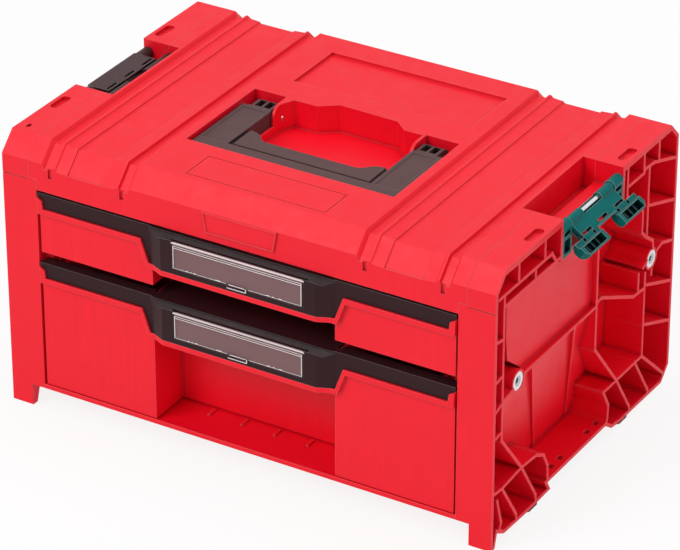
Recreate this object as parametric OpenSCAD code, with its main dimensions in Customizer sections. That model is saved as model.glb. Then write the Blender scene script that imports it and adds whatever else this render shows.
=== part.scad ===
// Portable tool box with two drawers, a folding carry handle and two side latches.
// Frame: +Z up, X along the width, -Y to the front; origin on the ground, under the middle of the case.

/* [Case] */
// Width of the case over the side panels
case_w = 450; // [420:1:480]
// Depth of the case from fascia to back
case_d = 303; // [290:1:320]
// Height from the ground to the top deck
case_h = 244; // [236:1:252]
// Chamfer along the top front edge
front_chamfer = 15.5; // [13:0.5:18]
// Chamfer along the top back edge
back_chamfer = 14; // [10:0.5:16]
// Chamfer along the back bottom edge
foot_chamfer = 12.5; // [8:0.5:14]
// Wall thickness of the moulded case shells
shell_t = 3; // [2.5:0.25:3.5]
// Width of each front pillar
pillar_w = 32; // [29:0.5:35]
// Width of the moulded foot under each pillar
foot_w = 20; // [16:0.5:24]
// Height of the top cover's fascia above the upper drawer
fascia_drop = 40.5; // [39:0.5:43]
// Width of the side panel seen from above
top_rail_w = 25; // [23:0.5:27]
// Height of the base plate's underside above the ground
base_z = 19.5; // [18:0.5:21]

/* [Side panel] */
// Distance from the outer rib edges to the inner face of the side panel
panel_depth = 39; // [36:0.5:42]
// Thickness of the ribs and rims
rib_t = 2.6; // [2:0.1:3.4]
// Depth of the flat side plate below the rib edges
plate_recess = 5; // [3:0.5:8]
// Distance of the screw bosses from the middle of the panel
boss_y = 112; // [108:0.5:115]
// Height of the screw bosses
boss_z = 134; // [130:0.5:138]
// Outer radius of the screw bosses
boss_r = 9.5; // [9:0.25:10.5]
// Height of the floor of the grip recess
grip_floor_z = 14; // [13:0.5:16]
// Height of the top edge of the grip recess
grip_top_z = 137; // [134:0.5:140]

/* [Drawers] */
// Height of the upper drawer from its underside to its rim
upper_h = 52; // [46:0.5:58]
// Outer width of a drawer box between its runners
tray_w = 352; // [346:1:354]
// Wall thickness of a drawer box
tray_t = 2.4; // [1.8:0.2:3]
// Half width of the finger recess in a drawer front
recess_half = 84; // [78:1:88]
// Depth of the finger recess in a drawer front
recess_d = 40.5; // [34:0.5:44]
// Height of the red lip under a drawer bezel
lip_h = 4.5; // [3.5:0.25:5.5]

/* [Pulls and labels] */
// Height of the bezel on both sides of the pull
bezel_side_h = 13.5; // [12:0.5:15]
// Height of the pull in the middle of the bezel
pull_h = 33.5; // [31:0.5:35]
// How far the pull stands out of the drawer front
pull_out = 7; // [5:0.5:8]
// Width of the label window
label_w = 118; // [100:1:124]
// Height of the label window flap
label_h = 21; // [18:0.5:22]
// Thickness of the label window flap
label_t = 1.4; // [1:0.1:1.6]

/* [Handle] */
// Half width of the handle over its arms
handle_half = 93; // [90:0.5:94]
// Width of each handle arm
arm_w = 27; // [25:0.5:27.5]
// Distance from the hinge axis to the handle's front edge
handle_reach = 91.5; // [88:0.5:92]
// Width of the handle's front bar
bar_w = 13.5; // [12:0.5:16]
// Place of the hinge axis behind the middle of the case
hinge_y = 12; // [10:0.5:12]
// Depth of the hinge axis below the deck
hinge_drop = 13; // [12:0.25:13.5]
// Radius of the handle pins
handle_pin_r = 3; // [2:0.25:3.5]
// Depth of the parts tray in the deck
bowl_depth = 24.5; // [23:0.5:27]

/* [Latches] */
// Half length of the latch notch in the top edge
notch_half = 50; // [49.5:0.5:51]
// Distance of the latch from the middle of the depth towards the back
latch_y = 4; // [0:0.5:6]
// Width of the latch notch
notch_w = 36; // [35:0.5:37]
// Depth of the latch axis below the deck
latch_drop = 11.5; // [10.5:0.25:12]
// Distance of the latch axis from the outer rib edges
latch_inset = 4.5; // [4:0.25:5]
// Radius of the latch barrels
barrel_r = 4; // [3.5:0.25:4.5]
// Radius of the latch pin
latch_pin_r = 1.8; // [1.5:0.1:2.2]
// Distance from the latch axis to the tip of its claws
latch_reach = 31; // [29:0.5:31]
// How far below level the opened latch stands, in degrees
latch_open_angle = 35; // [20:1:45]

/* [Clearances] */
// Gap between fixed case parts
seam_gap = 0.2; // [0.1:0.05:0.3]
// Gap around the drawers
slide_gap = 0.4; // [0.3:0.05:0.6]
// Gap above and below the drawer fronts
front_gap = 1.7; // [1.4:0.1:2]
// Height of the dark slit between the two drawers
drawer_slit = 9; // [7:0.5:11]
// Gap between the drawer boxes and the back
back_gap = 4; // [3:0.5:8]
// Radial gap of a running pin
pin_gap = 0.05; // [0.02:0.01:0.09]

/* [Hidden] */
$fn = 48;

half_w = case_w/2;
front_y = -case_d/2;
back_y = case_d/2;
pillar_x = half_w - pillar_w;
rail_x = half_w - top_rail_w;
web_x = half_w - panel_depth;
cover_z = case_h - fascia_drop;
plate_x = half_w - plate_recess;
pillar_d = 13;
shoulder_z = case_h - 31;
foot_pad_t = 4.5;
foot_d = 6;
foot_back = 33;
foot_step_z = 22;
overlap = 0.01;

// drawers, from the cover downwards
bezel_rise = 2.3;
rear_depth = 6;
upper_z = cover_z - front_gap - bezel_rise - upper_h;
lower_z = base_z + shell_t + front_gap;
lower_h = upper_z - drawer_slit - bezel_rise - lower_z;

runner_t = 3.5;
runner_x = web_x - seam_gap - runner_t;
tray_half = tray_w/2;
rim_w = runner_x - slide_gap - tray_half;
rim_t = 3;
ledge_t = 3;
face_x = pillar_x - 2.4;
face_y = front_y + 1;
face_t = 2.5;
bezel_out = 1.5;
lip_out = 3.5;
recess_y = front_y + recess_d;
tray_d = back_y - rear_depth - back_gap - face_y;

axis_x = half_w - latch_inset;
axis_z = case_h - latch_drop;
carrier_in = 35;
carrier_out = notch_half - 0.3;
carrier_r = barrel_r + 1;
notch_ledge_z = case_h - 19;
notch_pocket_z = case_h - 27;
notch_ledge_x = axis_x - 7;
handle_z = case_h - hinge_drop;

red = [0.86, 0.10, 0.12];
black = [0.16, 0.13, 0.14];
brown = [0.36, 0.26, 0.27];
teal = [0.02, 0.40, 0.38];
steel = [0.72, 0.73, 0.75];
white = [0.92, 0.92, 0.92];
clear = [0.75, 0.65, 0.66, 0.5];
rubber = [0.15, 0.14, 0.14];

// ---- helpers ----

// Unit normal of the edge from a to b, on its left side
function left_normal(a, b) = let (d = b - a) [-d[1], d[0]]/norm(d);

// Closed outline moved inwards by d, for points listed anticlockwise
function inset(pts, d) = [
  for (i = [0:len(pts) - 1])
    let (a = pts[(i + len(pts) - 1) % len(pts)],
         p = pts[i],
         b = pts[(i + 1) % len(pts)],
         n1 = left_normal(a, p),
         n2 = left_normal(p, b))
      p + d*(n1 + n2)/(1 + n1*n2)
];

// Box between two corners
module block(lo, hi) {
  translate(lo) cube(hi - lo);
}

// Solid from a (y, z) outline between two x places
module along_x(x0, x1) {
  translate([x0, 0, 0]) rotate([90, 0, 90]) linear_extrude(x1 - x0) children();
}

// Solid from an (x, z) outline between two y places
module along_y(y0, y1) {
  translate([0, y1, 0]) rotate([90, 0, 0]) linear_extrude(y1 - y0) children();
}

// Cylinder along X
module rod_x(r, x0, x1, y, z) {
  translate([x0, y, z]) rotate([0, 90, 0]) cylinder(r = r, h = x1 - x0);
}

// Cylinder along Y
module rod_y(r, y0, y1, x, z) {
  translate([x, y0, z]) rotate([-90, 0, 0]) cylinder(r = r, h = y1 - y0);
}

// Straight strip of width t from a to b, with square ends past both points
module strip(a, b, t) {
  d = (b - a)/norm(b - a)*t/2;
  n = [-d[1], d[0]];
  polygon([a - d - n, b + d - n, b + d + n, a - d + n]);
}

// Rib along a line of (y, z) points between two x places
module rib(pts, x0, x1, t = rib_t) {
  along_x(x0, x1)
    for (i = [0:len(pts) - 2])
      strip(pts[i], pts[i + 1], t);
}

// Both halves of something that is the same left and right
module both_sides() {
  children();
  mirror([1, 0, 0]) children();
}

// ---- side panels ----

// (y, z) outline of a side panel, anticlockwise seen from the right
pad_y = [-79, 75];
pad_half = 9.5;
panel_outline = [
  [front_y, 0], [front_y + foot_d, 0], [front_y + 9.5, 12], [-131, 6],
  [pad_y[0] - pad_half - 3, foot_pad_t], [-54.6, foot_pad_t + 0.8], [-59.6, grip_floor_z],
  [39, grip_floor_z], [43.5, 11], [50, foot_pad_t + 2], [pad_y[1] - pad_half, foot_pad_t],
  [pad_y[1] + pad_half, foot_pad_t], [back_y - foot_chamfer, foot_pad_t - 1],
  [back_y, foot_pad_t - 1 + foot_chamfer],
  [back_y, case_h - back_chamfer], [back_y - back_chamfer, case_h],
  [front_y + front_chamfer, case_h], [front_y, case_h - front_chamfer]
];

node_y = front_y + 47.5;
node_z = 52;
col_front_y = front_y + 13.7;
rib1_y = back_y - 50.8;
rib3_y = 15.6;
plate_top_z = case_h - 32;
low_rib_z = 48.5;
top_row_z = case_h - 22;

// Ribs that run through to the outer edges
panel_ribs = [
  [[front_y + 5, top_row_z], [-62.6, top_row_z]],
  [[62.5, top_row_z], [91, top_row_z - 0.5], [92.4, top_row_z + 2.8], [109.3, top_row_z + 1.4],
   [back_y, top_row_z - 12.5]],
  [[-115.8, top_row_z], [-115.8, case_h]],
  [[-74.3, top_row_z], [-74.3, case_h]],
  [[62.5, plate_top_z + 2], [62.5, case_h]],
  [[91, top_row_z], [91, case_h]],
  [[117, top_row_z - 1], [117, case_h]],
  [[col_front_y, top_row_z], [col_front_y, 94], [node_y, node_z], [-79.7, grip_floor_z], [-78, foot_pad_t]],
  [[-88.9, top_row_z], [-88.9, plate_top_z]],
  [[-62.6, top_row_z], [-56, plate_top_z], [rib3_y, plate_top_z]],
  [[col_front_y, plate_top_z], [-56, plate_top_z]],
  [[front_y, case_h - 58], [col_front_y, case_h - 60]],
  [[front_y, boss_z + 16], [col_front_y, boss_z + 18]],
  [[front_y, boss_z - 34], [col_front_y, boss_z - 32]],
  [[-boss_y - 6, boss_z - 3], [front_y + 17.5, boss_z - 5], [front_y, boss_z - 11]],
  [[-102.6, grip_top_z], [rib3_y, grip_top_z]],
  [[rib3_y, plate_top_z], [rib3_y, 97], [55.9, low_rib_z], [81.2, 10.7], [81.7, foot_pad_t]],
  [[rib3_y, boss_z + 6], [23.6, boss_z + 7], [80.9, boss_z - 20], [rib1_y, boss_z - 21.6]],
  [[88.8, boss_z - 3], [88.8, boss_z - 20.5]],
  [[62.5, plate_top_z + 2], [68.5, plate_top_z - 3], [84, plate_top_z - 12.4], [92, plate_top_z - 26],
   [92, boss_z + 33.4], [97.7, boss_z + 27.6], [boss_y, boss_z + 17], [boss_y + 2, boss_z + 7]],
  [[boss_y - 7, boss_z + 2], [97, boss_z - 1]],
  [[boss_y, boss_z - 7], [boss_y, boss_z - 14]],
  [[rib1_y, top_row_z + 2], [rib1_y, boss_z + 25.3]],
  [[rib1_y, boss_z - 8], [rib1_y, low_rib_z]],
  [[rib1_y, boss_z + 54], [back_y, boss_z + 37]],
  [[boss_y + 8, boss_z + 4], [back_y - 21.5, boss_z + 6.5], [back_y, boss_z - 0.5]],
  [[rib1_y, boss_z - 19], [back_y, boss_z - 38.5]],
  [[rib1_y, low_rib_z + 29.5], [back_y, low_rib_z + 9.5]],
  [[rib1_y, low_rib_z], [back_y - 9.5, 11.5]],
  [[33.4, low_rib_z], [rib1_y, low_rib_z]],
  [[88.5, low_rib_z], [114, 10], [114, foot_pad_t - 0.5]],
  [[33.4, low_rib_z], [43, 32], [42.2, 19.2], [38.7, grip_floor_z]],
  [[node_y, node_z], [-79.2, 50], [-67.6, 43.7], [-60.6, 31], [-59.6, grip_floor_z]],
  [[node_y, node_z], [front_y + 15.9, 49.4], [front_y, 51]],
  [[front_y + 16.6, 49], [front_y + 40.3, 13], [front_y + 41.2, 5]],
  [[front_y + 8.8, 42], [front_y + 16.1, 18.3], [front_y + 11.5, 10]]
];

// Bosses for the side screws
module panel_bosses() {
  for (y = [-boss_y, boss_y])
    rod_x(boss_r, web_x + 1, half_w - 0.6, y, boss_z);
}

module panel_boss_bores() {
  for (y = [-boss_y, boss_y]) {
    rod_x(sleeve_r + seam_gap, sleeve_x, half_w + 1, y, boss_z);
    rod_x(screw_r + 0.3, web_x - 1, sleeve_x + 1, y, boss_z);
  }
}

// (y, z) outline of the flat side plate between the ribs
side_plate = [
  [-124, plate_top_z], [-124, grip_top_z + 41], [-121, grip_top_z + 20], [-101, grip_top_z + 4],
  [-100, grip_top_z],
  [rib3_y, grip_top_z], [rib3_y, plate_top_z]
];

module flat_side_plate() {
  along_x(plate_x - shell_t, plate_x) polygon(side_plate);
  // edge of the plate towards the front, down to the web
  difference() {
    for (i = [0:3])
      rib([side_plate[i], side_plate[i + 1]], web_x + 1, plate_x);
    block([web_x, front_y, cover_z - seam_gap], [rail_x + seam_gap, back_y, case_h]);
  }
}

// Region of the grip recess in (y, z)
grip_area = [
  [-100, grip_top_z], [-101, boss_z - 8], [-121, boss_z - 9], [-122, boss_z - 26], [-130, boss_z - 30],
  [-130, 90],
  [node_y, node_z], [-79.2, 50], [-67.6, 43.7], [-60.6, 31], [-59.6, grip_floor_z],
  [38.7, grip_floor_z], [42.2, 19.2], [43, 32], [33.4, low_rib_z], [55.9, low_rib_z],
  [rib3_y, 97], [rib3_y, grip_top_z]
];

// (x, z) line of the sloping back of the grip recess
function grip_back(d) = [
  [web_x + 3 + d*0.2, grip_floor_z - 1], [plate_x + d*0.7, grip_top_z + 1]
];

// Inner wall of the panel, with the sloping back of the grip recess
module panel_web() {
  intersection() {
    along_x(web_x, web_x + shell_t) polygon(inset(panel_outline, 0.5));
    block([web_x - 1, front_y + pillar_d - shell_t, base_z], [half_w, back_y - 1, cover_z - seam_gap]);
  }
  intersection() {
    along_x(web_x + 1, half_w) polygon(grip_area);
    along_y(-140, 60) polygon(concat(
      grip_back(0), [for (i = [1:-1:0]) grip_back(0)[i] - [shell_t, 0]]));
  }
  // slanting ribs on the back of the grip recess
  intersection() {
    union() {
      rib([[-89, grip_top_z + 2], [-18, grip_floor_z - 2]], web_x + 1, half_w, 2);
      rib([[-19, grip_top_z + 2], [35, grip_floor_z - 2]], web_x + 1, half_w, 2);
    }
    along_x(web_x + 1, half_w) polygon(grip_area);
    along_y(-140, 60) polygon(concat(
      grip_back(6), [for (i = [1:-1:0]) grip_back(0)[i] - [1, 0]]));
  }
}

// Upper part of the panel, stepped outwards so that the cover drops inside it
module panel_step() {
  block([web_x, front_y + pillar_d - shell_t, cover_z - seam_gap - shell_t],
        [rail_x + seam_gap + shell_t, back_y - 1, cover_z - seam_gap]);
  block([rail_x + seam_gap, front_y + 1, cover_z - shell_t],
        [rail_x + seam_gap + shell_t, back_y - 1, case_h - front_chamfer]);
  block([rail_x + seam_gap, front_y + front_chamfer, case_h - front_chamfer - 1],
        [rail_x + seam_gap + shell_t, back_y - back_chamfer, case_h]);
}

// Closed front face of the pillar and its return beside the drawers
module panel_pillar() {
  block([pillar_x, front_y, foot_step_z - 2.5], [half_w, front_y + shell_t, shoulder_z]);
  block([pillar_x, front_y, foot_step_z - 2.5],
        [pillar_x + shell_t, front_y + pillar_d, cover_z - seam_gap]);
  block([web_x, front_y + pillar_d - shell_t, base_z],
        [pillar_x + shell_t, front_y + pillar_d, cover_z - seam_gap]);
  block([pillar_x, front_y, cover_z - 6], [half_w, front_y + shell_t, shoulder_z]);
  // foot
  block([half_w - foot_w, front_y, 0], [half_w, front_y + shell_t, foot_step_z + 1]);
  block([half_w - foot_w, front_y, 0], [half_w - foot_w + shell_t, front_y + foot_d, foot_step_z]);
  intersection() {
    block([half_w - foot_w, front_y, 0], [half_w - foot_w + shell_t, front_y + foot_back + 1, foot_step_z]);
    along_x(web_x, half_w) polygon(panel_outline);
  }
  block([pillar_x, front_y + 1, base_z], [half_w - foot_w + 1, front_y + pillar_d, foot_step_z]);
  block([web_x, front_y + pillar_d - shell_t, base_z],
        [half_w - foot_w + 1, front_y + foot_back + 1, foot_step_z]);
  block([rail_x + seam_gap, front_y, shoulder_z - 1],
        [half_w, front_y + shell_t, case_h - front_chamfer]);
}

// Rounded locating pocket in the top rail
module locating_groove(y) {
  groove_l = 23;
  groove_w = 8.5;
  corner = 3.8;
  translate([half_w - 11.8, y - groove_l/2, case_h - 3.2]) linear_extrude(4) union() {
    translate([corner, 0]) square([groove_w - 2*corner, groove_l]);
    translate([0, corner]) square([groove_w, groove_l - 2*corner]);
    for (dx = [corner, groove_w - corner], dy = [corner, groove_l - corner])
      translate([dx, dy]) circle(corner);
  }
}

slot_y = [-41.5, -26.4, 19.5, 34.7];
slot_collar_h = 3;

module panel_body() {
  difference() {
    union() {
      difference() {
        union() {
          // outer rim
          along_x(web_x + 1, half_w) difference() {
            polygon(panel_outline);
            polygon(inset(panel_outline, shell_t));
          }
          for (r = panel_ribs) rib(r, web_x + 1, half_w);
          // solid deck between the rim and the step
          block([rail_x + seam_gap, front_y + front_chamfer, case_h - 5],
                [half_w, back_y - back_chamfer, case_h]);
        }
        // nothing inside the cover above its lower edge
        block([web_x - 1, front_y - 1, cover_z - seam_gap],
              [rail_x + seam_gap, back_y + 1, case_h + 1]);
        // nothing behind the edges of the drawer fronts
        block([web_x - 1, front_y - 1, -1], [pillar_x, front_y + pillar_d - shell_t, cover_z]);
        // nothing beside the foot
        block([web_x - 1, front_y - 1, -1], [half_w - foot_w + 1, front_y + foot_back, foot_step_z]);
        // ribs end at the flat side plate
        panel_plate_room();
      }
      panel_bosses();
      flat_side_plate();
      panel_web();
      panel_step();
      panel_pillar();
      // floor and ends of the latch notch
      translate([0, latch_y, 0]) {
        block([rail_x + seam_gap, -notch_half - shell_t, notch_ledge_z - shell_t],
              [notch_ledge_x, notch_half + shell_t, notch_ledge_z]);
        block([notch_ledge_x - shell_t, -notch_half - shell_t, cover_z],
              [notch_ledge_x, notch_half + shell_t, notch_ledge_z]);
        for (y = [-notch_half - shell_t, notch_half])
          block([rail_x + seam_gap, y, case_h - 36], [half_w, y + shell_t, case_h]);
        // pads that carry the latch brackets
        for (s = [-1, 1])
          block([notch_ledge_x - 1, s*43 - 6, case_h - 35.5], [carrier_x, s*43 + 6, axis_z - 7]);
      }
    }
    latch_room_cut();
    panel_boss_bores();
    for (y = pad_y) locating_groove(y);
    // shadow line under the shoulder of the pillar
    block([rail_x + 1.5, front_y - 1, shoulder_z - 2], [half_w + 1, front_y + 0.7, shoulder_z - 1.1]);
    // slots that a latch from the box below hooks into
    for (y = slot_y)
      block([half_w - 9, y - 3.2, 0], [half_w - 4.5, y + 3.2, grip_floor_z + shell_t + 1]);
    // nothing outside the outline's chamfers
    panel_outline_cut();
  }
}

// Collars under the latch slots
module slot_collars() {
  for (y = slot_y)
    difference() {
      block([half_w - 10.5, y - 4.7, grip_floor_z - slot_collar_h],
            [half_w - 3, y + 4.7, grip_floor_z + 0.5]);
      block([half_w - 9, y - 3.2, 0], [half_w - 4.5, y + 3.2, grip_floor_z + 1]);
    }
}

module side_panel() {
  union() {
    panel_body();
    slot_collars();
  }
}

// Space in front of the flat side plate
module panel_plate_room() {
  along_x(plate_x - shell_t, half_w + 1) polygon([
    [-121, plate_top_z - rib_t/2], [-121, grip_top_z + 41], [-119, grip_top_z + 22],
    [-100, grip_top_z + 6.5], [-100, grip_top_z + rib_t/2],
    [rib3_y - rib_t/2, grip_top_z + rib_t/2], [rib3_y - rib_t/2, plate_top_z - rib_t/2]
  ]);
}

carrier_x = axis_x - 2.5;
sleeve_r = 7.8;
sleeve_t = 5;
sleeve_x = half_w - 1 - sleeve_t;
screw_r = 2.4;

// The notch itself, without the pads that stay for the brackets
module latch_room_cut() {
  translate([0, latch_y, 0]) {
    block([web_x - 1, -notch_half, notch_ledge_z], [half_w + 1, notch_half, case_h + 1]);
    block([notch_ledge_x, -carrier_in + 0.5, plate_top_z + rib_t/2],
          [half_w + 1, carrier_in - 0.5, case_h + 1]);
    for (s = [-1, 1])
      block([carrier_x, min(s*carrier_in, s*notch_half), case_h - 35.5],
            [half_w + 1, max(s*carrier_in, s*notch_half), case_h + 1]);
  }
}

// Everything outside the panel's own outline
module panel_outline_cut() {
  along_x(web_x - 5, half_w + 5) difference() {
    translate([front_y - 20, -20]) square([case_d + 40, case_h + 40]);
    polygon(panel_outline);
  }
}

module side_panel_right() {
  color(red) side_panel();
}

module side_panel_left() {
  color(red) mirror([1, 0, 0]) difference() {
    side_panel();
    // small slot near the front of the rail
    block([half_w - 11.5, front_y + 22.5, case_h - 2], [half_w - 7.5, front_y + 28.5, case_h + 1]);
  }
}

// ---- runner plates, which the side screws hold ----

module runner_plate() {
  difference() {
    union() {
      block([runner_x, front_y + pillar_d + 2, base_z + 8],
            [runner_x + runner_t, back_y - 9, upper_z + upper_h + slide_gap + 2.2]);
      for (z = [upper_z + upper_h - rim_t - slide_gap, lower_z + lower_h - rim_t - slide_gap]) {
        block([tray_half + slide_gap, front_y + pillar_d + 4, z - ledge_t],
              [runner_x + 1, back_y - 11, z]);
        // upper guide that keeps the drawer level when it is out
        block([tray_half + slide_gap + 1.5, front_y + 60, z + rim_t + 2*slide_gap],
              [runner_x + 1, back_y - 11, z + rim_t + 2*slide_gap + 1.8]);
      }
      // stiffening beads
      for (z = [60, 95])
        block([runner_x - 1.2, front_y + 20, z], [runner_x + 1, back_y - 20, z + 3]);
    }
    for (y = [-boss_y, boss_y])
      rod_x(screw_r, runner_x + 0.8, runner_x + runner_t + 1, y, boss_z);
  }
}

module runner_plate_right() {
  color(red) runner_plate();
}

module runner_plate_left() {
  color(red) mirror([1, 0, 0]) runner_plate();
}

// ---- side screws and sleeves ----

module side_sleeves() {
  color(white) both_sides()
    for (y = [-boss_y, boss_y])
      difference() {
        rod_x(sleeve_r, sleeve_x, sleeve_x + sleeve_t, y, boss_z);
        rod_x(4.2, sleeve_x + 1.8, sleeve_x + sleeve_t + 1, y, boss_z);
        rod_x(screw_r + 0.1, sleeve_x - 1, sleeve_x + 3, y, boss_z);
      }
}

module side_screws() {
  color(steel) both_sides()
    for (y = [-boss_y, boss_y]) {
      difference() {
        union() {
          rod_x(3.9, sleeve_x + 1.8, sleeve_x + 4.2, y, boss_z);
          rod_x(screw_r, runner_x + 0.8, sleeve_x + 2, y, boss_z);
        }
        // cross recess
        for (a = [45, 135])
          translate([sleeve_x + 3, y, boss_z]) rotate([a, 0, 0]) cube([3, 4.4, 1], center = true);
      }
    }
}

// ---- feet ----

module foot_pads() {
  pad_corner = 3;
  color(rubber) both_sides()
    for (y = pad_y)
      translate([half_w - 17, y - pad_half + 1, 0]) linear_extrude(foot_pad_t) union() {
        translate([pad_corner, 0]) square([15 - 2*pad_corner, 17]);
        translate([0, pad_corner]) square([15, 17 - 2*pad_corner]);
        for (x = [pad_corner, 15 - pad_corner], dy = [pad_corner, 17 - pad_corner])
          translate([x, dy]) circle(pad_corner);
      }
}

// ---- top cover ----

// (y, z) outline of the cover's outside, moved inwards by i
function cover_outline(i) =
  let (m = i*(sqrt(2) - 1))
  [[front_y + i, cover_z - overlap], [back_y - i, cover_z - overlap],
   [back_y - i, case_h - back_chamfer - m], [back_y - back_chamfer - m, case_h - i],
   [front_y + front_chamfer + m, case_h - i], [front_y + i, case_h - front_chamfer - m]];

// Parts tray in the deck: (x, y) outline, anticlockwise
bowl_front = -78;
bowl_half = 63;
bowl = [
  [-bowl_half, bowl_front], [bowl_half, bowl_front], [bowl_half, 20.8], [45.5, 20.8], [33.5, 31.2],
  [-20.4, 32.4], [-35.3, 21.2], [-57, 21], [-bowl_half, 8]
];
bowl_z = case_h - bowl_depth;
pocket_in = handle_half - arm_w - 0.7;
pocket_out = handle_half + 2.5;
pocket_back = hinge_y + 10.6;
pocket_front = hinge_y - handle_reach - 1.5;
pocket_z = handle_z - 11;
handle_top = case_h - 3;
wall_round = 11;

// Recess that the handle lies in, with a pocket for each arm
module handle_recess() {
  difference() {
    block([-pocket_out, pocket_front, pocket_z + 8], [pocket_out, hinge_y - 14, case_h + 1]);
    block([-pocket_in + 6, hinge_y - 60, -1], [pocket_in - 6, hinge_y, pocket_z + 8.01]);
  }
  both_sides()
    block([pocket_in, pocket_front, pocket_z], [pocket_out, pocket_back, case_h + 1]);
  translate([0, 0, bowl_z]) linear_extrude(bowl_depth + 1) polygon(bowl);
  // rounded front end of the wall between the bowl and each pocket
  both_sides()
    along_x(bowl_half - 1, pocket_in + 1) difference() {
      translate([hinge_y - 15, case_h - wall_round]) square([wall_round + 1, wall_round + 1]);
      translate([hinge_y - 14 + wall_round, case_h - wall_round]) circle(wall_round);
    }
}

// Solid that the recess is cut from, a wall thicker all round
module handle_recess_body() {
  wall = shell_t;
  translate([0, 0, bowl_z - wall]) linear_extrude(bowl_depth + wall - 1) polygon(inset(bowl, -wall));
  block([-pocket_out - wall, pocket_front - wall, pocket_z - wall + 4],
        [pocket_out + wall, hinge_y - 14 + wall, case_h - 1]);
  both_sides()
    block([bowl_half, pocket_front - wall, pocket_z - wall],
          [pocket_out + wall, pocket_back + wall, case_h - 1]);
}

// Cut along the deck and down both chamfers, with the given (x, depth) section
module deck_cut(section) {
  translate([0, back_y - back_chamfer, case_h]) rotate([90, 0, 0])
    linear_extrude(case_d - front_chamfer - back_chamfer) polygon(section);
  translate([0, front_y + front_chamfer, case_h]) rotate([135, 0, 0])
    linear_extrude(front_chamfer*sqrt(2) + 3) polygon(section);
  translate([0, back_y - back_chamfer, case_h]) rotate([-135, 0, 0]) mirror([0, 1, 0])
    linear_extrude(back_chamfer*sqrt(2) + 3) polygon(section);
}

// Sunk side part of the deck: along each edge a groove, then a narrow ridge and a low step
sunk_d = 4.4;
sunk_in = rail_x - 96.8;
sunk_out = rail_x - 13;
function sunk_edge(x, s) = [
  [x - s*0.3, 0.5], [x, 0], [x + s*2.6, -sunk_d + 0.5], [x + s*9.9, -sunk_d + 0.5], [x + s*11, -1],
  [x + s*12.8, -1], [x + s*14, -sunk_d + 1.8], [x + s*24.5, -sunk_d + 1.2], [x + s*24.9, -sunk_d]
];
side_section = concat(sunk_edge(sunk_in, 1), [for (i = [8:-1:0]) sunk_edge(sunk_out, -1)[i]]);

// Raised plate in the middle of the fascia, with slanting ends
module fascia_plate() {
  along_y(front_y - 1, front_y + 1)
    polygon([[-32, case_h - 33.5], [30, case_h - 33.5], [33, case_h - 15.8], [-35, case_h - 15.8]]);
  // raised border
  along_y(front_y - 1.8, front_y) difference() {
    polygon([[-32, case_h - 33.5], [30, case_h - 33.5], [33, case_h - 15.8], [-35, case_h - 15.8]]);
    polygon([[-30.9, case_h - 32.6], [28.9, case_h - 32.6], [31.7, case_h - 16.7], [-33.7, case_h - 16.7]]);
  }
}

module top_cover() {
  notch_x = half_w - notch_w;
  deck_in = shell_t + sunk_d;
  color(red) difference() {
    union() {
      // folded shell from the fascia over the deck to the back
      along_x(-rail_x, rail_x) difference() {
        polygon(cover_outline(0));
        polygon(concat([cover_outline(shell_t)[0] - [0, 5], cover_outline(shell_t)[1] - [0, 5]],
                       [for (k = [2:5]) cover_outline(shell_t)[k]]));
      }
      // end walls
      both_sides()
        along_x(rail_x - shell_t, rail_x) polygon(cover_outline(1));
      handle_recess_body();
      // thicker deck and chamfers under the sunk parts
      both_sides()
        along_x(sunk_in - 5, sunk_out + 5) difference() {
          polygon(cover_outline(1));
          polygon(concat([cover_outline(deck_in)[0] - [0, 5], cover_outline(deck_in)[1] - [0, 5]],
                         [for (k = [2:5]) cover_outline(deck_in)[k]]));
        }
      // walls and floor of the latch pockets
      both_sides()
        block([notch_x - shell_t, latch_y - notch_half - shell_t, notch_pocket_z - shell_t],
              [rail_x, latch_y + notch_half + shell_t, case_h - 1]);
      fascia_plate();
      // inner stiffening ribs under the deck
      for (x = [-150, -125, 125, 150])
        block([x - 1, front_y + front_chamfer, case_h - 12], [x + 1, back_y - back_chamfer, case_h - 5]);
      for (y = [60, 100])
        block([-rail_x + 1, y - 1, case_h - 12], [rail_x - 1, y + 1, case_h - 5]);
    }
    // the fascia narrows between the pillars
    both_sides()
      block([pillar_x - seam_gap, front_y - 2, cover_z - 5],
            [rail_x + 1, front_y + pillar_d + seam_gap, shoulder_z + seam_gap]);
    handle_recess();
    both_sides() {
      block([notch_x, latch_y - notch_half, notch_pocket_z],
            [rail_x + 1, latch_y + notch_half, case_h + 1]);
      // bores for the handle pins
      rod_x(handle_pin_r, bowl_half - 1, pocket_out + shell_t - 0.8, hinge_y, handle_z);
      deck_cut(side_section);
      // short slots in the fascia where the sunk parts end
      for (x = [sunk_in + 5.8, sunk_out - 9.8])
        block([x, front_y - 1, case_h - 27.4], [x + 4, front_y + 1.8, case_h - 14]);
    }
    // shallow panels in front of and behind the recess
    block([-76, 50, case_h - 2.4], [89, back_y - 39.5, case_h + 1]);
    difference() {
      block([-64, front_y + 20.5, case_h - 1.3], [64, pocket_front - 15.5, case_h + 1]);
      block([-62.5, front_y + 22, case_h - 3], [62.5, pocket_front - 17, case_h + 2]);
    }
    // the corners outside the chamfers
    cover_outline_cut();
  }
}

module cover_outline_cut() {
  along_x(-rail_x - 5, rail_x + 5) difference() {
    translate([front_y - 30, cover_z - 60]) square([case_d + 60, fascia_drop + 90]);
    polygon([for (p = cover_outline(-2)) p[1] < cover_z ? [p[0], cover_z - 80] : p]);
    translate([-100, cover_z - 60]) square([200, 55]);
  }
}

// ---- rear panel ----

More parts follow.
